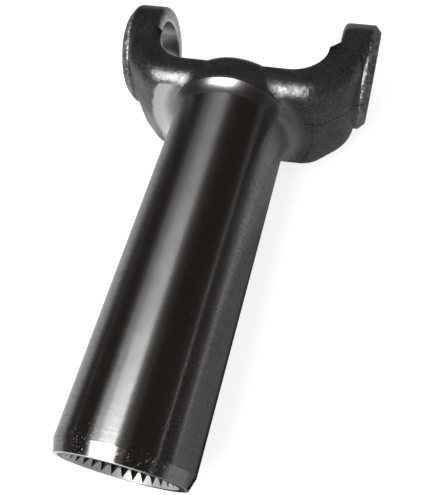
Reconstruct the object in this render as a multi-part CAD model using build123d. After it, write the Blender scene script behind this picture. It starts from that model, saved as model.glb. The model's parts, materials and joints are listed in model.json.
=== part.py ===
from build123d import *

import math
import os

# Forged steel slip yoke for a propeller shaft.
#
# A long ground barrel with an internal spline at its mouth runs up to a forged saddle and two arms, whose
# ears are bored in line for the bearing caps of a universal joint. A domed expansion plug closes the
# broached bore at the saddle.
#
# Millimetres. The origin is the joint centre, where the cross-bore axis (X) meets the barrel axis (Y).
# The ears stand toward +Y, the splined mouth is at -Y, and the yoke lies on its side with +Z up.

# ---- barrel ------------------------------------------------------------------------------------------
BARREL_OD = 42.93           # ground outside diameter, 1.690 in
BARREL_LEN = 126.8          # ground length, from the end face to the start of the hub fillet
HUB_FILLET = 5.6            # turned fillet between the barrel and the faced shoulder
FACING_REACH = 9.6          # how far beyond the barrel the facing tool cuts
FACING_CUT = 2.5            # and how deep into the saddle's back, at the barrel axis
MOUTH_BEVEL_RADIAL = 1.27   # outer lead on the mouth
MOUTH_BEVEL_AXIAL = 3.95

# ---- internal spline and bore ------------------------------------------------------------------------
TEETH = 31
SPLINE_MODULE = 25.4 / 24   # 24/48 diametral pitch
PRESSURE_ANGLE = 45.0
SPLINE_LEN = 92.0           # from the end face
LEAD_IN_RADIAL = 1.2        # lead-in cone that cuts the tooth ends
LEAD_IN_AXIAL = 2.7
RELIEF = 0.6                # clearance of the bore behind the spline, over the tooth roots
RELIEF_CONE = 2.5

# ---- ears --------------------------------------------------------------------------------------------
EAR_HALF = 48.6             # joint centre to an ear's outer face
GAP_HALF = 34.8             # joint centre to an ear's inner spot face
CROSS_BORE = 27.0           # bearing cap bore
EAR_WALL = 5.2              # metal round the bore
CROWN_CUT = 1.6             # how far the crown is flattened below the full round
EAR_BEVEL_RADIAL = 2.4      # bevel round the outer face
EAR_BEVEL_AXIAL = 2.4
EAR_BEVEL_ROUND = 1.3       # rounding of the bevel's two edges
EAR_ROUND = 1.8             # rounding of the inner edge
SPOT_MARGIN = 0.4           # the spot face runs this far past the round of the ear, into the arm
SPOT_FLARE = 0.25           # widening of its wall toward the joint centre, for each millimetre
CAP_SPAN = 92.0             # over both bearing caps, between the snap rings
RING_WIDTH = 1.7            # snap ring groove
RING_DEPTH = 0.9
BORE_EDGE = 0.5             # chamfers at the ends of the cross bores

# ---- saddle and arms ---------------------------------------------------------------------------------
HALF_WIDTH = 20.5           # half the width across the barrel axis
DRAFT = 4.0                 # forging draft, degrees, both ways from the parting plane z = 0
ARM_IN = 30.3               # joint centre to the inside of an arm, in the parting plane
ARM_OUT = 45.2              # and to its outside
ARM_FLARE = 0.6             # how much further out the outside stands at the joint centre
FLOOR_Y = 18.4              # joint centre down to the floor between the arms
SADDLE_THICK = 15.2         # floor to back, at the barrel axis
BACK_RISE = 1.0             # how far the back rises from the barrel axis to the shoulder
SHOULDER_X = 31.4           # where the back turns up into the arm, at 45 degrees
FLOOR_CORNER = 11.0         # radius between the floor and an arm
SHOULDER_R = 14.0           # radii at the two ends of the 45 degree shoulder
ARM_R = 17.0
NECK_Y = 10.0               # joint centre down to where the arms have narrowed to the ears' width
BACK_ROUND = 7.0            # rounding of the back edges
FLOOR_ROUND = 3.0           # rounding of the edges between the ears

# ---- hub and expansion plug --------------------------------------------------------------------------
HUB_FLARE = 2.3             # hub radius over the barrel's, at the back of the saddle
HUB_TAPER = 1.2             # how much smaller the hub is at the saddle floor
HUB_ROUND = 5.0             # rounding of the hub's edge at the floor
PLUG_LEDGE = 0.85           # width of the seat: the plug's radius over the relieved bore's
PLUG_DEPTH = 6.2            # saddle floor to the plug's seat
PLUG_THICK = 1.8            # sheet of the plug
PLUG_DOME = 3.0             # rise of its dome
PLUG_RIM = 1.8              # flat rim that sits on the seat
VENT_D = 2.6                # vent hole through the plug

# ---- sizes that follow -------------------------------------------------------------------------------
BARREL_R = BARREL_OD / 2
BACK_Y = -FLOOR_Y - SADDLE_THICK      # the saddle's back
FACE_Y = BACK_Y + FACING_CUT          # turned shoulder round the hub
FILLET_Y = FACE_Y - HUB_FILLET        # start of the hub fillet
MOUTH_Y = FILLET_Y - BARREL_LEN       # end face at the mouth
BORE_R = CROSS_BORE / 2
EAR_R = BORE_R + EAR_WALL
CROWN_Y = EAR_R - CROWN_CUT
ARM_END_Y = EAR_R / 2                 # the arms' own outline ends inside the ears
PLUG_Y = -FLOOR_Y - PLUG_DEPTH
PITCH_R = TEETH * SPLINE_MODULE / 2
BASE_R = PITCH_R * math.cos(math.radians(PRESSURE_ANGLE))
MINOR_R = (TEETH - 0.6) * SPLINE_MODULE / 2
ROOT_R = (TEETH + 1.4) * SPLINE_MODULE / 2
RELIEF_R = ROOT_R + RELIEF
PLUG_R = RELIEF_R + PLUG_LEDGE        # plug and counterbore alike: the plug is spread tight
FLANK_STEPS = 3                       # points along a tooth flank
FAR = 200.0                           # clears the part


def about_barrel(*points):
    """A solid turned round the barrel axis from (radius, y) points."""
    return revolve(make_face(Polyline(*points, close=True)), Axis.Y)


def about_cross_bore(side, *points):
    """A solid turned round the cross-bore axis from (x, radius) points, on the side +1 or -1."""
    outline = Polyline(*[(side * x, r) for x, r in points], close=True)
    return revolve(make_face(outline), Axis.X)


def on_arc(centre, radius, degrees):
    """The point of an arc at an angle from the first sketch axis."""
    angle = math.radians(degrees)
    return centre[0] + radius * math.cos(angle), centre[1] + radius * math.sin(angle)


# ---- forging: the U of saddle and arms, drafted both ways from the parting plane ---------------------
def saddle_outline():
    """The U in the parting plane: straight lines joined by the forging radii."""
    shoulder_y = BACK_Y + BACK_RISE
    arm_out_y = shoulder_y + ARM_OUT - SHOULDER_X
    back = FilletPolyline((0, BACK_Y), (SHOULDER_X, shoulder_y), (ARM_OUT, arm_out_y),
                          (ARM_OUT + ARM_FLARE, ARM_END_Y), radius=[SHOULDER_R, ARM_R])
    inside = FilletPolyline((ARM_IN, ARM_END_Y), (ARM_IN, -FLOOR_Y), (0, -FLOOR_Y), radius=FLOOR_CORNER)
    right = [back, Line(back @ 1, inside @ 0), inside]
    return make_face(right + [mirror(edge, about=Plane.YZ) for edge in right])


def on_side(edge):
    """Edges that lie on the two flat sides."""
    return abs(edge.center().Z) > HALF_WIDTH - 0.01


def is_back(edge):
    """Edges of the saddle's back and the arms' outsides."""
    below_middle = edge.center().Y < -FLOOR_Y - SADDLE_THICK / 2
    return below_middle or abs(edge.center().X) > (ARM_IN + ARM_OUT) / 2


def is_inside(edge):
    """Edges of the floor and the arms' insides, without the arms' ends."""
    beside_arm = abs(edge.center().X) < ARM_IN + DRAFT
    return beside_arm and not is_back(edge) and edge.center().Y < ARM_END_Y - 1


saddle = extrude(saddle_outline(), HALF_WIDTH, both=True, taper=DRAFT)
rims = saddle.edges().filter_by(on_side)
saddle = fillet(rims.filter_by(is_back), BACK_ROUND)
rims = saddle.edges().filter_by(on_side)
saddle = fillet(rims.filter_by(is_inside), FLOOR_ROUND)

# seen along the cross bore, the arms narrow in a straight line from the saddle's middle to the ears
slope = (HALF_WIDTH - EAR_R) / (FLOOR_Y + SADDLE_THICK / 2 - NECK_Y)
half_view = [(-FAR, EAR_R + slope * (FAR - NECK_Y)), (-NECK_Y, EAR_R), (0, EAR_R)]
side_view = Polyline(*half_view, *[(y, -z) for y, z in reversed(half_view)], close=True)
side_face = Plane.YZ * (make_face(side_view) + Circle(EAR_R))
yoke = saddle & extrude(side_face, FAR, both=True)

# ---- ears: round bosses with bevelled outer faces, flattened crowns and inner spot faces -------------
bevel_x = EAR_HALF - EAR_BEVEL_AXIAL
bevel_r = EAR_R - EAR_BEVEL_RADIAL
bevel = FilletPolyline((GAP_HALF - 1, EAR_R), (bevel_x, EAR_R), (EAR_HALF, bevel_r), (EAR_HALF, 0),
                       radius=EAR_BEVEL_ROUND)
boss = revolve(make_face([bevel, Polyline(bevel @ 1, (GAP_HALF - 1, 0), bevel @ 0)]), Axis.X)
yoke += boss
yoke += mirror(boss, about=Plane.YZ)
yoke -= Pos(0, CROWN_Y + FAR / 2, 0) * Box(FAR, FAR, FAR)
yoke -= Pos(0, FAR / 2, 0) * Box(2 * GAP_HALF, FAR, FAR)
spot_r = EAR_R + SPOT_MARGIN
spot_wide_r = spot_r + SPOT_FLARE * GAP_HALF
for side in (1, -1):
    yoke -= about_cross_bore(side, (0, 0), (0, spot_wide_r), (GAP_HALF, spot_r), (GAP_HALF, 0))

# the inner edge of each ear is rounded down to the wall of the spot face
centre = (GAP_HALF + EAR_ROUND, EAR_R - EAR_ROUND)
arc = ThreePointArc((GAP_HALF, centre[1]), on_arc(centre, EAR_ROUND, 135), (centre[0], EAR_R))
waste = Polyline(arc @ 1, (centre[0], EAR_R + 1), (GAP_HALF - 1, EAR_R + 1), (GAP_HALF - 1, centre[1]),
                 arc @ 0)
wall_y = -math.sqrt(spot_r ** 2 - EAR_R ** 2)
above_wall = Pos(0, wall_y + FAR / 2, 0) * Box(FAR, FAR, FAR)
rounding = revolve(make_face([arc, waste]), Axis.X) & above_wall
yoke -= rounding
yoke -= mirror(rounding, about=Plane.YZ)

# ---- hub ---------------------------------------------------------------------------------------------
hub_r = BARREL_R + HUB_FLARE
floor_r = hub_r - HUB_TAPER
hub = about_barrel((0, FILLET_Y), (hub_r, FILLET_Y), (hub_r, FACE_Y), (floor_r, -FLOOR_Y), (0, -FLOOR_Y))
hub = fillet(hub.edges().sort_by(Axis.Y)[-1], HUB_ROUND)
yoke += hub

# ---- barrel, turned fillet and faced shoulder --------------------------------------------------------
# the facing tool leaves a flat ring on the backs of the arms, out to where they rise clear of it
centre = (BARREL_R + HUB_FILLET, FILLET_Y)
facing_r = BARREL_R + FACING_REACH
turned_fillet = ThreePointArc((BARREL_R, FILLET_Y), on_arc(centre, HUB_FILLET, 135), (centre[0], FACE_Y))
turning = Polyline(turned_fillet @ 1, (facing_r, FACE_Y), (facing_r, -FAR), (BARREL_R, -FAR),
                   turned_fillet @ 0)
yoke -= revolve(make_face([turned_fillet, turning]), Axis.Y)
bevel_y = MOUTH_Y + MOUTH_BEVEL_AXIAL
mouth_r = BARREL_R - MOUTH_BEVEL_RADIAL
yoke += about_barrel((0, FACE_Y), (BARREL_R, FACE_Y), (BARREL_R, bevel_y), (mouth_r, MOUTH_Y),
                     (0, MOUTH_Y))

# ---- cross bores and snap ring grooves ---------------------------------------------------------------
ring_in = CAP_SPAN / 2
ring_out = ring_in + RING_WIDTH
ring_r = BORE_R + RING_DEPTH
edge_r = BORE_R + BORE_EDGE
for side in (1, -1):
    yoke -= about_cross_bore(side, (0, 0), (0, edge_r), (GAP_HALF, edge_r), (GAP_HALF + BORE_EDGE, BORE_R),
                             (ring_in, BORE_R), (ring_in, ring_r), (ring_out, ring_r), (ring_out, BORE_R),
                             (EAR_HALF - BORE_EDGE, BORE_R), (EAR_HALF, edge_r), (FAR, edge_r), (FAR, 0))


# ---- internal spline ---------------------------------------------------------------------------------
def involute(radius):
    """The involute function at a radius."""
    alpha = math.acos(BASE_R / radius)
    return math.tan(alpha) - alpha


def gap_half_angle(radius):
    """Half the angle between the two flanks of a gap, which narrows outward."""
    return math.pi / (2 * TEETH) - involute(radius) + involute(PITCH_R)


def polar(radius, angle):
    return radius * math.cos(angle), radius * math.sin(angle)


def spline_gaps():
    """The bore and its gaps between the teeth: involute flanks, flat roots and round tooth tips."""
    step = 2 * math.pi / TEETH
    radii = [MINOR_R + (ROOT_R - MINOR_R) * k / FLANK_STEPS for k in range(FLANK_STEPS + 1)]
    outline = []
    for gap in range(TEETH):
        middle = gap * step
        rising = Spline(*[polar(r, middle - gap_half_angle(r)) for r in radii])
        falling = Spline(*[polar(r, middle + gap_half_angle(r)) for r in reversed(radii)])
        next_gap = polar(MINOR_R, middle + step - gap_half_angle(MINOR_R))
        tip = ThreePointArc(falling @ 1, polar(MINOR_R, middle + step / 2), next_gap)
        outline += [rising, Line(rising @ 1, falling @ 0), falling, tip]
    return make_face(outline)


mouth = Plane(origin=(0, MOUTH_Y, 0), x_dir=(1, 0, 0), z_dir=(0, 1, 0))
yoke -= extrude(mouth * spline_gaps(), SPLINE_LEN)

# ---- lead-in cone, relieved bore and plug seat -------------------------------------------------------
lead_y = MOUTH_Y + LEAD_IN_AXIAL
lead_r = MINOR_R + LEAD_IN_RADIAL
yoke -= about_barrel((0, MOUTH_Y), (lead_r, MOUTH_Y), (MINOR_R, lead_y), (0, lead_y))
relief_y = MOUTH_Y + SPLINE_LEN
cone_y = relief_y - RELIEF_CONE
yoke -= about_barrel((0, cone_y), (RELIEF_R - RELIEF_CONE, cone_y), (RELIEF_R, relief_y), (RELIEF_R, PLUG_Y),
                     (PLUG_R, PLUG_Y), (PLUG_R, 0), (0, 0))


# ---- expansion plug ----------------------------------------------------------------------------------
def plug_half():
    """Half section of the domed disc: one sheet thickness, flat at the rim."""
    rim_r = PLUG_R - PLUG_RIM
    dome_r = (rim_r ** 2 + PLUG_DOME ** 2) / (2 * PLUG_DOME)
    middle = 90 - math.degrees(math.asin(rim_r / dome_r)) / 2
    low = (0, PLUG_Y + PLUG_DOME - dome_r)
    high = (0, low[1] + PLUG_THICK)
    upper = ThreePointArc((0, high[1] + dome_r), on_arc(high, dome_r, middle), (rim_r, PLUG_Y + PLUG_THICK))
    rim = Polyline(upper @ 1, (PLUG_R, PLUG_Y + PLUG_THICK), (PLUG_R, PLUG_Y), (rim_r, PLUG_Y))
    lower = ThreePointArc(rim @ 1, on_arc(low, dome_r, middle), (0, low[1] + dome_r))
    return make_face([upper, rim, lower, Line(lower @ 1, upper @ 0)])


plug = revolve(plug_half(), Axis.Y)
plug -= Rot(90, 0, 0) * Cylinder(VENT_D / 2, FAR)

os.makedirs("parts", exist_ok=True)
export_step(yoke, "parts/slip_yoke.step")
export_step(plug, "parts/expansion_plug.step")
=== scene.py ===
# %% [markdown]
# # A forged slip yoke and the finishes of its steel
#
# The shape comes from the CAD model: one steel forging with a ground barrel, a splined mouth and two bored
# ears, and a pressed plug inside it. Blender adds what CAD leaves out: the finish that each tool left on the
# steel. Nothing here moves or resizes the part.

import json
import math

import bpy
from mathutils import Matrix, Vector


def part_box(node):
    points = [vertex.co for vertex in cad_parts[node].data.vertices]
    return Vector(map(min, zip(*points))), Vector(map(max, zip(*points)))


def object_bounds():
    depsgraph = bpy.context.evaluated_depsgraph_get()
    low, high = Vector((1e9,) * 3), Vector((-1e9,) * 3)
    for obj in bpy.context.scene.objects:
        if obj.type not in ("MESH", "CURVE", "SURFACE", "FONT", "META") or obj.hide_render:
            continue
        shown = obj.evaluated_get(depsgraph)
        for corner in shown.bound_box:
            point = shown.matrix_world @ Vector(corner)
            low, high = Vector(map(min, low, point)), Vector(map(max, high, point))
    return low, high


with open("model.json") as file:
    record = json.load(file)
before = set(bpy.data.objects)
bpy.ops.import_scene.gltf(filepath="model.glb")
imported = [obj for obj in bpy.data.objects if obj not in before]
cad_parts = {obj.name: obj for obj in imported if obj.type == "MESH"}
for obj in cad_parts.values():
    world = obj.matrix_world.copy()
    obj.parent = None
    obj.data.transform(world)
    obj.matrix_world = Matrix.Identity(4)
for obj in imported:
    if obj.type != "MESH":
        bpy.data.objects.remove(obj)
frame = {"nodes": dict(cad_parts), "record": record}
cad_low, cad_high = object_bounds()
yoke = frame["nodes"]["slip_yoke"]
plug = frame["nodes"]["expansion_plug"]
scene = bpy.context.scene
print("loaded", sorted(frame["nodes"]), "box", [round(v, 4) for v in cad_high - cad_low])

# %% [markdown]
# ## Sizes
#
# Every pattern below is tied to a real length, so the few sizes that the finishes need are worked out here.
# The record gives the barrel and the cross bores, and the yoke's own box gives the mouth and the ears. The
# part lies along Y with the joint centre at the origin, and the cross bores lie along X. Blender's own
# lengths are metres; the materials work in millimetres.

# %% Sizes from the record and the box
MM = 0.001
FILLET_REACH = 5.6     # the fillet runs this far along the barrel, and as far out from it, mm
FACING_REACH = 9.6     # the ring faced round the fillet ends this far out from the barrel, mm
mounts = {mount["name"]: mount for mount in frame["record"]["mounts"]}
barrel_r = mounts["barrel"]["dims"]["r_mm"] * MM
bore_r = mounts["cross_bores"]["dims"]["r_mm"] * MM
mouth_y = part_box("slip_yoke")[0].y
ear_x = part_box("slip_yoke")[1].x
half_length = mounts["barrel"]["dims"]["length_mm"] * MM / 2
fillet_y = mounts["barrel"]["pos_m"][1] + half_length
bevel_y = mounts["barrel"]["pos_m"][1] - half_length
face_y = fillet_y + FILLET_REACH * MM
hub_r = barrel_r + FILLET_REACH * MM
facing_r = barrel_r + FACING_REACH * MM
print(f"barrel radius {barrel_r:.5f}, ground from {bevel_y:.4f} to {fillet_y:.4f}, bore {bore_r:.4f}")


# %% [markdown]
# ## Two helpers
#
# Colours are written as sRGB hex, the way a paint or colour card gives them, and Blender wants linear light,
# so one function turns one into the other. The other adds a node, sets its values and joins its inputs.

# %% Helpers
def linear(hex_colour):
    """sRGB hex to linear RGBA."""
    values = [int(hex_colour[i:i + 2], 16) / 255 for i in (1, 3, 5)]
    return [v / 12.92 if v <= 0.04045 else ((v + 0.055) / 1.055) ** 2.4 for v in values] + [1.0]


def add(tree, kind, inputs=None, **settings):
    """A new node of a kind, with settings, and with its inputs set to values or joined to sockets."""
    node = tree.nodes.new(kind)
    for name, value in settings.items():
        setattr(node, name, value)
    for key, value in (inputs or {}).items():
        if isinstance(value, bpy.types.NodeSocket):
            tree.links.new(value, node.inputs[key])
        else:
            node.inputs[key].default_value = value
    return node


print("middle grey #808080 is", round(linear("#808080")[0], 3), "in linear light")


# %% [markdown]
# ## Places in millimetres
#
# The whole yoke is one mesh, but six tools have left their marks on it: hammer, lathe, broach, boring bar,
# form tool and grinding wheel. The shader has to know which of them made the surface at a point. Masks could
# be painted by hand, but then they would not follow the part when its size changes. A cut is a simple shape
# about one of two axes, the barrel's (Y) or the cross bores' (X), so a test on the point's place will do.

# %% Place, distance from an axis, and tests
TO_MM = 1000.0


def place_in_mm(tree):
    """Where the shaded point lies in the part's own frame."""
    metres = add(tree, "ShaderNodeTexCoord").outputs["Object"]
    return add(tree, "ShaderNodeVectorMath", {0: metres, 1: (TO_MM,) * 3}, operation="MULTIPLY").outputs[0]


def distance_from(tree, place, across):
    """Distance from an axis; across is 1 for the two directions that lie across it."""
    flat = add(tree, "ShaderNodeVectorMath", {0: place, 1: across}, operation="MULTIPLY").outputs[0]
    return add(tree, "ShaderNodeVectorMath", {0: flat}, operation="LENGTH").outputs["Value"]


def all_of(tree, *tests):
    """1 where every test holds. A test is (socket, "LESS_THAN" or "GREATER_THAN", limit in mm)."""
    found = None
    for socket, operation, limit in tests:
        held = add(tree, "ShaderNodeMath", {0: socket, 1: limit}, operation=operation).outputs[0]
        if found is not None:
            held = add(tree, "ShaderNodeMath", {0: found, 1: held}, operation="MULTIPLY").outputs[0]
        found = held
    return found


mouth_mm, bevel_mm, fillet_mm, face_mm = (y * TO_MM for y in (mouth_y, bevel_y, fillet_y, face_y))
print(f"mouth at {mouth_mm:.1f}, bevel to {bevel_mm:.1f}, fillet {fillet_mm:.1f} to {face_mm:.1f} mm")


# %% [markdown]
# ## Grains of a real size
#
# Steel is never even: scale, specks, scratches and tool lines all vary from place to place. A Noise texture
# can stand for each of them once space is divided by the real length, width and depth of one grain. Long,
# thin grains read as lines.

# %% Noise with grains of a real size
NOISE_MIDDLE = 0.5     # a noise lies about evenly round this
NOISE_ALL = 0.3, 0.7   # nearly all of it lies between these
NOISE_MOST = 0.35, 0.65   # and most of it between these


def grains_of(tree, place, sizes, detail=2.0, roughness=0.6):
    """Noise whose grains are sizes = (x, y, z) millimetres across."""
    scaled = add(tree, "ShaderNodeVectorMath", {0: place, 1: [1 / s for s in sizes]}, operation="MULTIPLY")
    grains = {"Vector": scaled.outputs[0], "Scale": 1.0, "Detail": detail, "Roughness": roughness}
    return add(tree, "ShaderNodeTexNoise", grains, noise_dimensions="3D").outputs["Fac"]


print(f"the yoke is {(cad_high - cad_low).x * TO_MM:.1f} mm wide, about a hundred grains of 1 mm")


# %% [markdown]
# ## The ring faced on the forging's back
#
# A lathe tool trued the back of the forging round the fillet. A forging never sits quite square in the lathe,
# so the tool cut well on the left, out to a ragged edge, and hardly reached the metal on the right, where
# its cut fades out. A mask with a soft, wavy rim draws both.

# %% How well the facing tool cleaned up
TURNOVER = 6.0         # the cut changes from its left to its right form within this of the middle, mm
LEFT_EXTRA = 0.8       # how far past its drawn radius the tool cut on the left, mm
OFF_CENTRE = 2.6       # and how far short of it on the right, mm
LEFT_FADE = 0.3        # width over which the edge fades on the left, mm
RIGHT_FADE = 4.0       # and on the right, mm
RAGGED = 3.5           # unevenness of the edge, mm
RAGGED_WAVE = 4.0      # length of its waves, mm


def faced_amount(tree, place, x, from_barrel):
    """How well the facing tool cleaned up: fully on the left, to a ragged edge, fading on the right."""
    across = {"Value": x, "From Min": -TURNOVER, "From Max": TURNOVER}
    reach = add(tree, "ShaderNodeMapRange", dict(across, **{
        "To Min": facing_r * TO_MM + LEFT_EXTRA, "To Max": facing_r * TO_MM - OFF_CENTRE})).outputs[0]
    fade = add(tree, "ShaderNodeMapRange", dict(across, **{
        "To Min": LEFT_FADE, "To Max": RIGHT_FADE})).outputs[0]
    waves = grains_of(tree, place, (RAGGED_WAVE,) * 3, detail=3.0)
    ragged = add(tree, "ShaderNodeMath", {0: waves, 1: NOISE_MIDDLE}, operation="SUBTRACT").outputs[0]
    edge = add(tree, "ShaderNodeMath", {0: ragged, 1: RAGGED, 2: reach}, operation="MULTIPLY_ADD").outputs[0]
    inside = add(tree, "ShaderNodeMath", {0: edge, 1: from_barrel}, operation="SUBTRACT").outputs[0]
    return add(tree, "ShaderNodeMath", {0: inside, 1: fade}, operation="DIVIDE", use_clamp=True).outputs[0]


print(f"the faced ring ends about {facing_r * TO_MM:.1f} mm from the barrel's axis")


# %% [markdown]
# ## Where each tool has been
#
# Each mask is 1 where one tool has cut and 0 elsewhere. A mask reaches a hair past its edge, so that no
# sliver of scale is left between two cuts. Two masks have a soft rim: the faced ring's, as above, and the
# polished fillet's, because the fillet runs out into the ring with no step.

# %% One mask for each cut
EDGE = 0.06            # how far past its edge a mask reaches, mm
SPLINE_ROOM = 19.0     # nothing outside the bore lies nearer the barrel's axis at the mouth, mm
TOOTH_TIP = 16.09      # radius over the spline's tooth tips, mm
LEAD_IN_OUT = 1.2      # the lead-in cone goes this far out from the tips, mm
LEAD_IN_DEEP = 2.7     # and this far in from the mouth, mm
RING_DEPTH = 0.9       # depth of the snap ring grooves, mm
EAR_INSIDE = 34.8      # joint centre to an ear's inner face, mm
ARM_OUTSIDE = 45.0     # joint centre to an arm's outer side, where the ear's boss begins, mm
EAR_RIM = 3.2          # the ear's outer face and its bevel lie within this of its outermost side, mm
BEVEL_IN = 19.9        # the mouth's bevel lies outside this radius, mm
FILLET_FADE = 3.0      # the polished fillet runs out into the faced ring over this width, mm


def behind_the_tips(tree, y, from_barrel):
    """How far behind the lead-in cone and the tooth tips a point lies, mm."""
    tips = add(tree, "ShaderNodeMapRange", {
        "Value": y, "From Min": mouth_mm, "From Max": mouth_mm + LEAD_IN_DEEP,
        "To Min": TOOTH_TIP + LEAD_IN_OUT, "To Max": TOOTH_TIP}).outputs[0]
    return add(tree, "ShaderNodeMath", {0: from_barrel, 1: tips}, operation="SUBTRACT").outputs[0]


def fillet_amount(tree, y, from_barrel):
    """1 on the fillet, fading out where it meets the faced ring."""
    inside = all_of(tree, (y, "GREATER_THAN", fillet_mm), (y, "LESS_THAN", face_mm + EDGE))
    fade = add(tree, "ShaderNodeMapRange", {
        "Value": from_barrel, "From Min": hub_r * TO_MM - FILLET_FADE, "From Max": hub_r * TO_MM,
        "To Min": 1.0, "To Max": 0.0}).outputs[0]
    return add(tree, "ShaderNodeMath", {0: inside, 1: fade}, operation="MULTIPLY").outputs[0]


def zones(tree, place):
    """The masks by name, each a socket that is 1 where that tool has cut, and the distances behind them."""
    apart = add(tree, "ShaderNodeSeparateXYZ", {0: place})
    x, y, z = apart.outputs
    side = add(tree, "ShaderNodeMath", {0: x}, operation="ABSOLUTE").outputs[0]
    from_barrel = distance_from(tree, place, (1, 0, 1))
    from_cross = distance_from(tree, place, (0, 1, 1))
    behind_tips = behind_the_tips(tree, y, from_barrel)
    lathe = all_of(tree, (y, "LESS_THAN", face_mm + EDGE))
    faced = faced_amount(tree, place, x, from_barrel)
    in_bore = (from_barrel, "LESS_THAN", SPLINE_ROOM)
    behind_mouth = (y, "GREATER_THAN", mouth_mm + EDGE)
    return {
        "turned": add(tree, "ShaderNodeMath", {0: lathe, 1: faced}, operation="MULTIPLY").outputs[0],
        "fillet": fillet_amount(tree, y, from_barrel),
        "ground": all_of(tree, (y, "LESS_THAN", fillet_mm), (y, "GREATER_THAN", bevel_mm),
                         (from_barrel, "GREATER_THAN", SPLINE_ROOM)),
        "bevel": all_of(tree, (y, "LESS_THAN", bevel_mm), behind_mouth,
                        (from_barrel, "GREATER_THAN", BEVEL_IN)),
        "bore": all_of(tree, in_bore, behind_mouth),
        # painted shade: the flanks and roots past the tooth tips, which are coloured dark
        "shade_between_teeth": all_of(tree, in_bore, (behind_tips, "GREATER_THAN", EDGE)),
        "lead_in": all_of(tree, in_bore, (behind_tips, "LESS_THAN", EDGE),
                          (y, "LESS_THAN", mouth_mm + LEAD_IN_DEEP)),
        "cross_bore": all_of(tree, (from_cross, "LESS_THAN", bore_r * TO_MM + RING_DEPTH + EDGE),
                             (side, "GREATER_THAN", EAR_INSIDE - EDGE)),
        "ear_edge": all_of(tree, (side, "GREATER_THAN", ear_x * TO_MM - EAR_RIM)),
        "ear": all_of(tree, (side, "GREATER_THAN", ARM_OUTSIDE)),
        "from_barrel": from_barrel, "y": y, "z": z,
    }


print(f"the lead-in cone opens from {TOOTH_TIP} to {TOOTH_TIP + LEAD_IN_OUT} mm over {LEAD_IN_DEEP} mm")


# %% [markdown]
# ## Ground steel: the barrel
#
# The barrel runs in a bush and an oil seal, so it is ground after turning. The wheel leaves very fine lines
# round the barrel. Across the lines the steel scatters light widely, along them hardly at all, so a lamp is
# drawn out into a long bright band down the barrel with sharp sides. That is anisotropic gloss, with the
# stretch along Y. Bare steel is fully metallic, and a ground face is a little rough, from about 0.2 to 0.3.
# Real lines are a few hundredths of a millimetre apart; here they are drawn coarser, so that some of them
# show. The fillet and the mouth's bevel were cut last with a fine feed and are as bright, so they take the
# same finish, the fillet a little softer and the bevel sharper.

# %% Ground steel
GRIND_LINE = 0.6       # spacing of the drawn lines along the barrel, mm
GRIND_LENGTH = 40.0    # how far one line runs round the barrel, mm
CLOUD = 14.0           # soft patches where the wheel was dressed, mm
SPECK = 0.5            # specks of handling and oil, mm
BRIGHT_STEEL = "#d8d8d9"
DULL_STEEL = "#cccbcc"
OILED_STEEL = "#7c7a7e"
QUARTER_TURN = 0.25    # turns the stretch of the gloss from round the barrel to along it


def ground_steel(tree, place, rough_low, rough_high, stretch=1.0):
    """Cylindrically ground steel, bright, with its lines round the barrel."""
    lines = grains_of(tree, place, (GRIND_LENGTH, GRIND_LINE, GRIND_LENGTH))
    clouds = grains_of(tree, place, (CLOUD,) * 3, detail=3.0)
    specks = grains_of(tree, place, (2 * SPECK, SPECK, 2 * SPECK), detail=3.0)
    tone = add(tree, "ShaderNodeMapRange", {
        "Value": clouds, "From Min": NOISE_ALL[0], "From Max": NOISE_ALL[1],
        "To Min": 0.0, "To Max": 1.0}).outputs[0]
    colour = add(tree, "ShaderNodeMix", {"Factor": tone, "A": linear(DULL_STEEL), "B": linear(BRIGHT_STEEL)},
                 data_type="RGBA").outputs["Result"]
    for grain, starts, is_full, strength in ((specks, 0.48, 0.64, 0.32), (lines, 0.45, 0.65, 0.12)):
        fleck = add(tree, "ShaderNodeMapRange", {
            "Value": grain, "From Min": starts, "From Max": is_full,
            "To Min": 0.0, "To Max": strength}).outputs[0]
        colour = add(tree, "ShaderNodeMix", {"Factor": fleck, "A": colour, "B": linear(OILED_STEEL)},
                     data_type="RGBA").outputs["Result"]
    rough = add(tree, "ShaderNodeMapRange", {
        "Value": specks, "From Min": NOISE_MOST[0], "From Max": NOISE_MOST[1],
        "To Min": rough_low, "To Max": rough_high}).outputs[0]
    lay = add(tree, "ShaderNodeTangent", direction_type="RADIAL", axis="Y")
    return add(tree, "ShaderNodeBsdfPrincipled", {
        "Base Color": colour, "Metallic": 1.0, "Roughness": rough, "Anisotropic": stretch,
        "Anisotropic Rotation": QUARTER_TURN, "Tangent": lay.outputs[0]}).outputs[0]


print("ground lines drawn every", GRIND_LINE, "mm, specks", SPECK, "mm wide")


# %% [markdown]
# ## Knocks at the mouth
#
# The mouth is the end that gets set down on benches, so it carries small dents and short scratches. They are
# too shallow to be worth a place in the mesh. A noise of short, tilted grains, of which only the highest
# peaks count, scatters them, and the further from the mouth, the fewer are let through.

# %% Knocks and scratches
KNOCKED = 6.0          # how far from the mouth's bevel the barrel has been knocked, mm
KNOCK_START = 1.0      # all knocks are let through up to this far short of the bevel's end, mm
SCRATCH_TILT = 0.6     # most scratches lean this much off the barrel's length, radians
SCRATCH_WIDTH = 0.3    # mm
SCRATCH_LENGTH = 2.2   # mm
SCRATCH_PEAKS = 0.655, 0.70   # noise at which a scratch starts, and is at its strongest
FEWER = 0.14           # how much is taken off the noise where there are no knocks left
KNOCK_STRENGTH = 0.6
DENT = 0.5             # width of a dent, mm
DENT_DEPTH = 0.4       # mm


def knocked_steel(tree, place):
    """Steel roughened by knocks: it catches light from far more directions than its ground surroundings."""
    dents = grains_of(tree, place, (DENT,) * 3)
    relief = add(tree, "ShaderNodeBump", {"Height": dents, "Strength": 1.0, "Distance": DENT_DEPTH * MM})
    return add(tree, "ShaderNodeBsdfPrincipled", {
        "Base Color": linear("#d6d4d0"), "Metallic": 1.0, "Roughness": 0.35,
        "Normal": relief.outputs[0]}).outputs[0]


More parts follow.
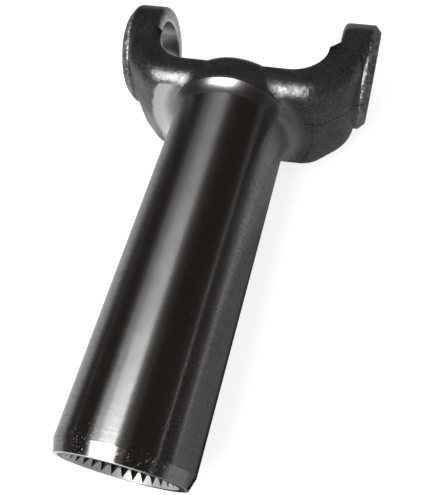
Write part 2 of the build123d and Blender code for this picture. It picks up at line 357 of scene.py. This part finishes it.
def knocks(tree, place, zone):
    """1 in the small knocks and scratches that the mouth has had in handling; fewer further from it."""
    tilted = add(tree, "ShaderNodeVectorRotate", {"Vector": place, "Angle": SCRATCH_TILT},
                 rotation_type="Z_AXIS").outputs[0]
    scratches = grains_of(tree, tilted, (SCRATCH_WIDTH, SCRATCH_LENGTH, SCRATCH_WIDTH),
                          detail=1.0, roughness=0.5)
    away = add(tree, "ShaderNodeMapRange", {
        "Value": zone["y"], "From Min": bevel_mm - KNOCK_START, "From Max": bevel_mm + KNOCKED,
        "To Min": 0.0, "To Max": FEWER}).outputs[0]
    rare = add(tree, "ShaderNodeMath", {0: scratches, 1: away}, operation="SUBTRACT").outputs[0]
    return add(tree, "ShaderNodeMapRange", {
        "Value": rare, "From Min": SCRATCH_PEAKS[0], "From Max": SCRATCH_PEAKS[1],
        "To Min": 0.0, "To Max": KNOCK_STRENGTH}).outputs[0]


print("scratches", SCRATCH_LENGTH, "mm long, up to", KNOCKED, "mm from the bevel")


# %% [markdown]
# ## Turned steel: the faced ring and the end face
#
# A lathe tool goes round the work too, but its feed leaves ridges that the eye can find, a few to the
# millimetre. On the faced ring they show as circles. A sine of the distance out from the axis plus the
# distance along it gives an even feed on any turned face, which no noise would.

# %% Turned steel
FEED = 0.28            # ridge spacing across the work, mm
RIDGE_HEIGHT = 0.004   # mm
TURNED_CLOUD = 5.0     # patches where the tool cut a little rougher, mm


def turned_steel(tree, place, zone):
    """Lathe-turned steel: fine rings about the barrel's axis."""
    run = add(tree, "ShaderNodeMath", {0: zone["from_barrel"], 1: zone["y"]}, operation="ADD").outputs[0]
    rings = add(tree, "ShaderNodeMath", {0: run, 1: 2 * math.pi / FEED}, operation="MULTIPLY").outputs[0]
    ridges = add(tree, "ShaderNodeMath", {0: rings}, operation="SINE").outputs[0]
    clouds = grains_of(tree, place, (TURNED_CLOUD,) * 3, detail=3.0)
    rough = add(tree, "ShaderNodeMapRange", {
        "Value": clouds, "From Min": NOISE_ALL[0], "From Max": NOISE_ALL[1],
        "To Min": 0.28, "To Max": 0.36}).outputs[0]
    relief = add(tree, "ShaderNodeBump", {"Height": ridges, "Strength": 0.3, "Distance": RIDGE_HEIGHT * MM})
    return add(tree, "ShaderNodeBsdfPrincipled", {
        "Base Color": linear("#d7d6d6"), "Metallic": 1.0, "Roughness": rough,
        "Normal": relief.outputs[0]}).outputs[0]


print("the lathe's ridges lie", FEED, "mm apart")


# %% [markdown]
# ## Broached, formed and bored steel
#
# The spline is cut by pulling a broach through, which leaves smooth flanks with faint lines along the bore.
# Between the teeth the flanks and roots are painted darker, a painted shade of the deep, narrow gaps. The
# lead-in cone is cut last with a form tool, which scrapes rather than slices. That leaves it matt, and a film
# of oil and scrapings makes it look less metallic. The cross bores are bored to a close size and look plain
# and grey.

# %% Broached, formed and bored steel
BROACH_LINE = 0.25     # width of a line left by the broach, mm
BROACH_RUN = 12.0      # how far it runs along the bore, mm
BROACH_DEPTH = 0.02    # and how deep it is, mm
SCRAPE = 0.4           # grain of the scraped cone, mm
SCRAPE_DEPTH = 0.05    # mm
BORE_LINE = 0.3        # width of a line left by the boring bar, mm
BORE_RUN = 8.0         # how far it runs round the bore, mm
BORE_DEPTH = 0.01      # and how deep it is, mm


def broached_steel(tree, place, colour, roughness):
    """Broached steel: faint lines along the barrel."""
    lines = grains_of(tree, place, (BROACH_LINE, BROACH_RUN, BROACH_LINE))
    relief = add(tree, "ShaderNodeBump", {"Height": lines, "Strength": 0.2, "Distance": BROACH_DEPTH * MM})
    return add(tree, "ShaderNodeBsdfPrincipled", {
        "Base Color": linear(colour), "Metallic": 1.0, "Roughness": roughness,
        "Normal": relief.outputs[0]}).outputs[0]


def formed_steel(tree, place):
    """The lead-in cone: cut last, with a form tool, and left matt."""
    grain = grains_of(tree, place, (SCRAPE,) * 3)
    relief = add(tree, "ShaderNodeBump", {"Height": grain, "Strength": 0.3, "Distance": SCRAPE_DEPTH * MM})
    return add(tree, "ShaderNodeBsdfPrincipled", {
        "Base Color": linear("#bdbbb9"), "Metallic": 0.6, "Roughness": 0.45,
        "Normal": relief.outputs[0]}).outputs[0]


def bored_steel(tree, place):
    """Finely bored steel: faint lines round the cross bores."""
    lines = grains_of(tree, place, (BORE_LINE, BORE_RUN, BORE_RUN))
    relief = add(tree, "ShaderNodeBump", {"Height": lines, "Strength": 0.2, "Distance": BORE_DEPTH * MM})
    return add(tree, "ShaderNodeBsdfPrincipled", {
        "Base Color": linear("#adabaa"), "Metallic": 1.0, "Roughness": 0.33,
        "Normal": relief.outputs[0]}).outputs[0]


print("broach lines run", BROACH_RUN, "mm, boring lines", BORE_RUN, "mm")


# %% [markdown]
# ## The parting line
#
# Two dies met near the middle of the forging, and the flash squeezed out between them was trimmed off. The
# small step left all round is drawn as a thin dark line, a painted shadow. It wanders a little, because the
# trimming die never follows the forging exactly, so its height is shifted by a slow noise.

# %% Parting line
PARTING_Z = 4.5        # height of the line above the barrel's axis, mm
PARTING_SWING = 7.0    # the most that it could wander, from its lowest to its highest, mm
PARTING_WAVE = 16.0    # length of its waves, mm
PARTING_WIDTH = 0.45   # half its width, mm
PARTING_STRENGTH = 0.7


def shaded_parting_line(tree, place, zone):
    """1 along the wavy line where the two dies met, where the shadow of the trimmed step is painted."""
    waves = grains_of(tree, place, (PARTING_WAVE,) * 3, detail=1.0)
    height = add(tree, "ShaderNodeMath", {0: waves, 1: PARTING_SWING, 2: zone["z"]},
                 operation="MULTIPLY_ADD").outputs[0]
    off = add(tree, "ShaderNodeMath", {0: height, 1: PARTING_Z + PARTING_SWING * NOISE_MIDDLE},
              operation="SUBTRACT").outputs[0]
    away = add(tree, "ShaderNodeMath", {0: off}, operation="ABSOLUTE").outputs[0]
    return add(tree, "ShaderNodeMapRange", {
        "Value": away, "From Min": 0.0, "From Max": PARTING_WIDTH,
        "To Min": PARTING_STRENGTH, "To Max": 0.0}).outputs[0]


print("parting line near z =", PARTING_Z, "mm")


# %% [markdown]
# ## Forging scale: saddle, arms and ears
#
# The yoke is medium carbon steel, drop forged, and here it is as the hammer left it. Hot steel grows a dark
# oxide, and shot blasting takes the loose scale off. What stays is dark, finely dimpled and almost as
# metallic as bare steel, so that a lamp breaks up into sparkles along the rounded edges. The colour has three
# layers: slow patches, then light and dark specks, then a painted highlight on the outer rims of the ears,
# where their rounded bevels catch the light.

# %% Colour of the scale
SPECKLE = 0.8          # light and dark specks of oxide, mm
PATCH = 12.0           # patches where more or less oxide came off, mm
SCALE_DARK = "#7b7a7c"
SCALE_LIGHT = "#979595"
# painted highlight: the lighter colour of the ears' outer rims stands in for light on their rounded bevels
RIM_HIGHLIGHT = "#d0cecc"
# the parting line is painted dark, a painted shadow of the small step left by the trimming
PARTING_SHADOW = "#2b292a"    # the parting line


def scale_colour(tree, place, rim_highlight, parting_shadow):
    """Oxide in patches and specks, with a painted highlight on the ears' rims and a painted shadow along the
    parting line.
    """
    patches = grains_of(tree, place, (PATCH,) * 3, detail=5.0)
    tone = add(tree, "ShaderNodeMapRange", {
        "Value": patches, "From Min": NOISE_MOST[0], "From Max": NOISE_MOST[1],
        "To Min": 0.0, "To Max": 1.0}).outputs[0]
    colour = add(tree, "ShaderNodeMix", {"Factor": tone, "A": linear(SCALE_DARK), "B": linear(SCALE_LIGHT)},
                 data_type="RGBA").outputs["Result"]
    specks = grains_of(tree, place, (SPECKLE,) * 3)
    for starts, is_full, strength, shade in ((0.5, 0.36, 0.4, "#4c4a4a"), (0.54, 0.68, 0.4, "#c4c1be")):
        speck = add(tree, "ShaderNodeMapRange", {
            "Value": specks, "From Min": starts, "From Max": is_full,
            "To Min": 0.0, "To Max": strength}).outputs[0]
        colour = add(tree, "ShaderNodeMix", {"Factor": speck, "A": colour, "B": linear(shade)},
                     data_type="RGBA").outputs["Result"]
    # a painted highlight on the ears' outer rims, then the painted shadow along the parting line
    for amount, shade in ((rim_highlight, RIM_HIGHLIGHT), (parting_shadow, PARTING_SHADOW)):
        colour = add(tree, "ShaderNodeMix", {"Factor": amount, "A": colour, "B": linear(shade)},
                     data_type="RGBA").outputs["Result"]
    return colour


print("scale from", SCALE_DARK, "to", SCALE_LIGHT, "with specks", SPECKLE, "mm wide")


# %% [markdown]
# ## The hammered surface
#
# Hammered metal flows round its corners, so a Bevel node rounds the shading of the crease between hub and
# saddle. The ears are cut square, and there the normal of the mesh itself is used. Over that lie two bumps:
# shallow pits where scale was hammered in, deepest on the outer rims of the ears, and the fine dimples of
# the blasting.

# %% Forging scale
DIMPLE = 0.7           # blasted dimples, mm
DIMPLE_DEPTH = 0.2     # mm
SCAB = 3.2             # pits where scale was hammered in, mm
SCAB_DEPTH = 1.8       # full depth of the coarse relief, mm
SOFT_EDGE = 4.0        # how far the hammered metal flows round a corner, mm


def hammered_normal(tree, place, zone, scabs):
    """The normal of the hammered metal: soft corners, pits and dimples."""
    dimples = grains_of(tree, place, (DIMPLE,) * 3, detail=3.0, roughness=0.7)
    corners = add(tree, "ShaderNodeBevel", {"Radius": SOFT_EDGE * MM}, samples=6)
    as_cut = add(tree, "ShaderNodeNewGeometry").outputs["Normal"]
    flow = add(tree, "ShaderNodeMix", {"Factor": zone["ear"], "A": corners.outputs[0], "B": as_cut},
               data_type="VECTOR")
    uneven = add(tree, "ShaderNodeMapRange", {
        "Value": zone["ear_edge"], "To Min": 0.2, "To Max": 1.0}).outputs[0]
    coarse = add(tree, "ShaderNodeBump", {"Height": scabs, "Strength": uneven, "Distance": SCAB_DEPTH * MM,
                                          "Normal": flow.outputs["Result"]})
    fine = add(tree, "ShaderNodeBump", {"Height": dimples, "Strength": 0.4, "Distance": DIMPLE_DEPTH * MM,
                                        "Normal": coarse.outputs[0]})
    return fine.outputs[0]


def forging_scale(tree, place, zone):
    """Shot-blasted forging scale: dark oxide with fine dimples and a few shallow pits."""
    scabs = grains_of(tree, place, (SCAB,) * 3, detail=4.0)
    patchy = add(tree, "ShaderNodeMapRange", {
        "Value": scabs, "From Min": 0.42, "From Max": 0.6, "To Min": 0.15, "To Max": 0.9}).outputs[0]
    # painted highlight on the ears' outer rims, broken up by the pits
    rim_highlight = add(tree, "ShaderNodeMath", {0: zone["ear_edge"], 1: patchy}, operation="MULTIPLY").outputs[0]
    rough = add(tree, "ShaderNodeMapRange", {"Value": rim_highlight, "To Min": 0.31, "To Max": 0.42}).outputs[0]
    return add(tree, "ShaderNodeBsdfPrincipled", {
        "Base Color": scale_colour(tree, place, rim_highlight, shaded_parting_line(tree, place, zone)),
        "Metallic": 0.94, "Roughness": rough,
        "Normal": hammered_normal(tree, place, zone, scabs)}).outputs[0]


print("dimples", DIMPLE, "mm and pits", SCAB, "mm wide, corners softened over", SOFT_EDGE, "mm")


# %% [markdown]
# ## One shader for the forging
#
# The finishes are laid over each other in the order in which the tools came: scale first, then what the
# lathe, the boring bar, the grinding wheel, the broach and the form tool cut through it. Knocks come after
# the grinding, because they happened to the finished barrel.

# %% Put the finishes on the yoke
def new_material(name):
    """An empty node material, its tree and its output."""
    material = bpy.data.materials.new(name)
    material.use_nodes = True
    material.node_tree.nodes.clear()
    return material, material.node_tree, add(material.node_tree, "ShaderNodeOutputMaterial")


def machined_forging():
    """Forged steel with its machined surfaces, laid over each other in the order in which they were cut."""
    material, tree, output = new_material("forged_and_machined_steel")
    place = place_in_mm(tree)
    zone = zones(tree, place)
    on_barrel = add(tree, "ShaderNodeMath", {0: zone["ground"], 1: zone["bevel"]},
                    operation="MAXIMUM").outputs[0]
    knocked = add(tree, "ShaderNodeMath", {0: knocks(tree, place, zone), 1: on_barrel},
                  operation="MULTIPLY").outputs[0]
    surface = forging_scale(tree, place, zone)
    for amount, finish in ((zone["turned"], turned_steel(tree, place, zone)),
                           (zone["cross_bore"], bored_steel(tree, place)),
                           (zone["fillet"], ground_steel(tree, place, 0.28, 0.34, stretch=0.7)),
                           (zone["ground"], ground_steel(tree, place, 0.232, 0.273)),
                           (zone["bevel"], ground_steel(tree, place, 0.18, 0.22)),
                           (knocked, knocked_steel(tree, place)),
                           (zone["bore"], broached_steel(tree, place, "#c4c2be", 0.4)),
                           # painted shade between the teeth: the flanks and roots get a dark colour
                           (zone["shade_between_teeth"], broached_steel(tree, place, "#4a4948", 0.45)),
                           (zone["lead_in"], formed_steel(tree, place))):
        surface = add(tree, "ShaderNodeMixShader", {0: amount, 1: surface, 2: finish}).outputs[0]
    tree.links.new(surface, output.inputs["Surface"])
    return material


forging = machined_forging()
for slot in yoke.material_slots:
    slot.material = forging
print(yoke.name, "is", forging.name, "with", len(forging.node_tree.nodes), "nodes")


# %% [markdown]
# ## Pressed sheet steel: the plug
#
# The plug is cold-rolled steel sheet pressed into a dome. The rolls leave it even, and the press leaves soft
# clouds where it rubbed, so roughness and a slight relief follow one slow noise.

# %% Put pressed steel on the plug
RUB = 4.0              # patches where the press rubbed, mm
RUB_DEPTH = 0.05       # mm


def pressed_sheet():
    """Plain cold-rolled steel sheet for the plug."""
    material, tree, output = new_material("pressed_sheet_steel")
    place = place_in_mm(tree)
    clouds = grains_of(tree, place, (RUB,) * 3, detail=4.0)
    rough = add(tree, "ShaderNodeMapRange", {
        "Value": clouds, "From Min": NOISE_ALL[0], "From Max": NOISE_ALL[1],
        "To Min": 0.3, "To Max": 0.45}).outputs[0]
    relief = add(tree, "ShaderNodeBump", {"Height": clouds, "Strength": 0.2, "Distance": RUB_DEPTH * MM})
    shader = add(tree, "ShaderNodeBsdfPrincipled", {
        "Base Color": linear("#a9a7a2"), "Metallic": 1.0, "Roughness": rough, "Normal": relief.outputs[0]})
    tree.links.new(shader.outputs[0], output.inputs["Surface"])
    return material


sheet = pressed_sheet()
for slot in plug.material_slots:
    slot.material = sheet
print(plug.name, "is", sheet.name, "with", len(sheet.node_tree.nodes), "nodes")

# %% [markdown]
# ## The camera
#
# The yoke lies on its side with the mouth toward the viewer, seen from above and a little from the right.
# The camera is set from three directions of its own rather than from angles, which leaves no doubt about the
# order of the turns. They are made square to each other, because rounded numbers never quite are.

# %% Camera
LONG_SIDE = 495
FOCAL = 568.92         # focal length, in the unit in which the frame's long side measures 495
SENSOR = 36.0          # long side of the sensor, mm
eye = Vector((0.05027, -0.17911, 0.16472))
right = Vector((0.964, 0.248, -0.095)).normalized()
ahead = Vector((-0.192, 0.402, -0.896)).normalized()
up = right.cross(ahead).normalized()
right = ahead.cross(up).normalized()
camera_data = bpy.data.cameras.new("camera")
camera_data.sensor_width = SENSOR
camera_data.lens = SENSOR * FOCAL / LONG_SIDE
camera_data.shift_x, camera_data.shift_y = -0.0082, 0.1135
camera_data.clip_start, camera_data.clip_end = 0.005, 20.0
camera = bpy.data.objects.new("camera", camera_data)
turn = Matrix((right, up, -ahead)).transposed()
camera.matrix_world = Matrix.Translation(eye) @ turn.to_4x4()
scene.collection.objects.link(camera)
scene.camera = camera
print(f"lens {camera_data.lens:.2f} mm, {(eye - (cad_low + cad_high) / 2).length:.3f} m from the yoke")


# %% [markdown]
# ## White all round, but dim
#
# Matt surfaces need even light from all round at a plain level, and yet the backdrop has to be white. The
# Light Path node tells the two apart: a ray from the camera, or one that metal or glass sends on, meets
# white, and all other rays meet the dimmer fill.

# %% World
FILL = 0.55
BACKDROP = 1.0
WHITE = "#ffffff"


def direct_or_mirrored(tree):
    """1 for rays from the camera, and for those that metal or glass passes on."""
    path = add(tree, "ShaderNodeLightPath")
    seen = path.outputs["Is Camera Ray"]
    for name in ("Is Glossy Ray", "Is Transmission Ray"):
        seen = add(tree, "ShaderNodeMath", {0: seen, 1: path.outputs[name]}, operation="MAXIMUM").outputs[0]
    return seen


def world_light():
    """Even fill for matt surfaces, and a white backdrop for rays from the camera or off metal."""
    world = bpy.data.worlds.new("studio")
    world.use_nodes = True
    tree = world.node_tree
    tree.nodes.clear()
    even = add(tree, "ShaderNodeBackground", {"Color": linear(WHITE), "Strength": FILL})
    white = add(tree, "ShaderNodeBackground", {"Color": linear(WHITE), "Strength": BACKDROP})
    mixed = add(tree, "ShaderNodeMixShader", {
        0: direct_or_mirrored(tree), 1: even.outputs[0], 2: white.outputs[0]})
    add(tree, "ShaderNodeOutputWorld", {"Surface": mixed.outputs[0]})
    scene.world = world


world_light()
print("fill", FILL, "and backdrop", BACKDROP)


# %% [markdown]
# ## The lamps
#
# Bright metal is lit by what it mirrors. Two softboxes over the mouth end, one inside the other, draw the
# long highlight with a soft left side. Both are turned a few degrees, which leans the highlight across the
# barrel. Two weak scrims lighten the bands beside it, the right one a little brown. Two thin strips draw the
# fine bright lines along the sides. Each lamp is given by how bright its face is, so its power grows with
# its area.

# %% Lamps
MOUTH_END = -0.80      # the softboxes hang over the floor this far out along Y, metres


def softbox(name, centre, size, radiance, aim, turn=0.0, tint=(1, 1, 1)):
    """A rectangular lamp whose face has a radiance, aimed at a point; turn swings its long side off Y."""
    light = bpy.data.lights.new(name, "AREA")
    light.shape = "RECTANGLE"
    light.size, light.size_y = size
    light.energy = radiance * math.pi * size[0] * size[1]
    light.color = tint
    lamp = bpy.data.objects.new(name, light)
    back = (Vector(centre) - Vector(aim)).normalized()
    along = Vector((math.sin(math.radians(turn)), math.cos(math.radians(turn)), 0))
    along = (along - back * back.dot(along)).normalized()
    facing = Matrix((along.cross(back), along, back)).transposed()
    lamp.matrix_world = Matrix.Translation(centre) @ facing.to_4x4()
    scene.collection.objects.link(lamp)
    print(f"{name}: {light.energy:.3f} W")


softbox("softbox_overhead", (-0.320, MOUTH_END, 0.78), (0.60, 1.0), 4.6, (0, MOUTH_END, 0), turn=-4.0)
softbox("softbox_core", (-0.230, MOUTH_END, 0.80), (0.38, 1.0), 3.7, (0, MOUTH_END, 0), turn=-4.0)
softbox("scrim_left", (-0.72, -0.85, 0.74), (0.20, 1.5), 0.25, (0, -0.85, 0))
softbox("scrim_right", (0.06, -0.85, 0.79), (0.20, 1.5), 0.09, (0, -0.85, 0), turn=6.0,
        tint=(1.0, 0.76, 0.52))
softbox("strip_right", (0.90, 0.30, 0.46), (0.010, 2.4), 0.9, (0, 0.30, 0))
softbox("strip_left", (-0.98, 0.30, 0.19), (0.016, 2.4), 0.2, (0, 0.30, 0))


# %% [markdown]
# ## The white sheet
#
# The part lies on a white sheet. Its colour is set so that it catches the part's shadow without lighting the
# part more than the fill does, and a glow that only the camera and metal meet lifts it to white.

# %% Floor
FLOOR_REACH = 6.0      # from the middle to each edge, metres
SHEET = "#a4a4a4"
SHEET_GLOW = 0.80
ONE_FACE = [(0, 1, 2, 3)]


def stage_material(name, colour, glow):
    """A matt surface that also glows a little for rays from the camera or off metal."""
    material, tree, output = new_material(name)
    matt = add(tree, "ShaderNodeBsdfDiffuse", {"Color": linear(colour)})
    strength = add(tree, "ShaderNodeMath", {0: direct_or_mirrored(tree), 1: glow},
                   operation="MULTIPLY").outputs[0]
    light = add(tree, "ShaderNodeEmission", {"Color": linear(WHITE), "Strength": strength})
    both = add(tree, "ShaderNodeAddShader", {0: matt.outputs[0], 1: light.outputs[0]})
    tree.links.new(both.outputs[0], output.inputs["Surface"])
    return material


floor_z = cad_low.z
corners = [(x * FLOOR_REACH, y * FLOOR_REACH, floor_z) for x, y in ((-1, -1), (1, -1), (1, 1), (-1, 1))]
mesh = bpy.data.meshes.new("floor")
mesh.from_pydata(corners, [], ONE_FACE)
mesh.materials.append(stage_material("white_sheet", SHEET, SHEET_GLOW))
floor = bpy.data.objects.new("floor", mesh)
scene.collection.objects.link(floor)
print(f"white sheet at z = {floor_z:.4f} m")


# %% [markdown]
# ## The black cloth round the set
#
# Left to mirror white all round, the barrel would look like a white tube. A tent of black cloth gives it its
# dark bands. It is there for reflections only: the camera, the shadows and the light on matt surfaces pass
# through it.

# %% Black cloth
TENT_SIDES = 32
TENT_RADIUS = 3.0      # metres
TENT_TOP = 2.5         # metres
TENT_GAP = 0.001       # between the cloth's lower edge and the sheet, metres
BLACK_CLOTH = "#282520"


def reflection_card(name, corners, faces, colour):
    """Cloth or card that only metal sees."""
    material, tree, output = new_material(name)
    light = add(tree, "ShaderNodeEmission", {"Color": linear(colour), "Strength": 1.0})
    tree.links.new(light.outputs[0], output.inputs["Surface"])
    mesh = bpy.data.meshes.new(name)
    mesh.from_pydata(corners, [], faces)
    mesh.materials.append(material)
    card = bpy.data.objects.new(name, mesh)
    for kind in ("camera", "diffuse", "transmission", "volume_scatter", "shadow"):
        setattr(card, "visible_" + kind, False)
    scene.collection.objects.link(card)


angles = [2 * math.pi * k / TENT_SIDES for k in range(TENT_SIDES)]
ring = [(TENT_RADIUS * math.cos(a), TENT_RADIUS * math.sin(a)) for a in angles]
tent_corners = [(x, y, floor_z + TENT_GAP) for x, y in ring] + [(x, y, TENT_TOP) for x, y in ring]
neighbours = [(k, (k + 1) % TENT_SIDES) for k in range(TENT_SIDES)]
walls = [(here, beside, TENT_SIDES + beside, TENT_SIDES + here) for here, beside in neighbours]
roof = tuple(range(TENT_SIDES, 2 * TENT_SIDES))
reflection_card("black_cloth", tent_corners, walls + [roof], BLACK_CLOTH)
print("tent of", TENT_SIDES, "sides,", TENT_TOP, "m high")

# %% [markdown]
# ## Cards on the sheet
#
# The sides of the barrel mirror the sheet beside it. On the right the sheet's shade is painted on grey card,
# in strips that follow each other along Y and are darkest beside the barrel. A painted shadow of the barrel,
# dark card, comes out from under it there, tapered, so that its end draws no step in the steel. On the left
# the white sheet falls into shade, painted in strips that get darker with their distance. Only metal sees any
# of it, as with the tent.

# %% Cards
LIFT = 0.0002          # one layer above the next, metres
FAR = 3.0              # where the cards end, metres
# painted shadow of the barrel on the sheet: dark card coming out from under it on the right
SHADOW_OUT = 0.031      # how far the black cloth comes out on the right, metres
# painted shade: the sheet right of the barrel, darkest beside it, seen only by metal
SHADE_CARD_RIGHT = ((-1.0, -0.168, "#878683"), (-0.168, -0.06, "#5b5a57"), (-0.06, -0.045, "#646360"),
             (-0.045, -0.015, "#757470"), (-0.015, 1.0, "#83827e"))
# The painted shadow under the barrel: Y of each end at the barrel's middle, then Y of each end at SHADOW_OUT
SHADOW_UNDER = (((-0.168, -0.062), (-0.168, -0.085), "#2a2826"),
               ((-0.062, -0.040), (-0.085, -0.060), "#413f3c"))
SHADED_SHEET = ((0.0, 0.036, "#ffffff"), (0.036, 0.052, "#dcdcdb"), (0.052, 0.08, "#b2b2b1"),
                (0.08, 0.15, "#a0a09f"), (0.15, 0.25, "#848484"), (0.25, 0.4, "#525251"),
                (0.4, 3.0, "#2a2826"))

card_z = floor_z + LIFT
shadow_z = card_z + LIFT
# painted shade of the sheet on the right, one strip of grey after another
for start, end, grey in SHADE_CARD_RIGHT:
    reflection_card("painted_shade_right", [(0, start, card_z), (FAR, start, card_z),
                                  (FAR, end, card_z), (0, end, card_z)], ONE_FACE, grey)
# painted shadow under the barrel, tapered so that its end draws no step in the steel
for (start, end), (start_out, end_out), grey in SHADOW_UNDER:
    reflection_card("painted_shadow_under", [(0, start, shadow_z), (SHADOW_OUT, start_out, shadow_z),
                                          (SHADOW_OUT, end_out, shadow_z), (0, end, shadow_z)], ONE_FACE, grey)
for near, far, grey in SHADED_SHEET:
    reflection_card("sheet_left", [(-far, -FAR, card_z), (-near, -FAR, card_z),
                                   (-near, FAR, card_z), (-far, FAR, card_z)], ONE_FACE, grey)
print(len(SHADE_CARD_RIGHT), "strips of grey card,", len(SHADED_SHEET), "of shaded sheet")

# %% [markdown]
# ## Finish
#
# The view transform is Standard, so that a colour renders as it is written.

# %% Colour
scene.view_settings.view_transform = "Standard"
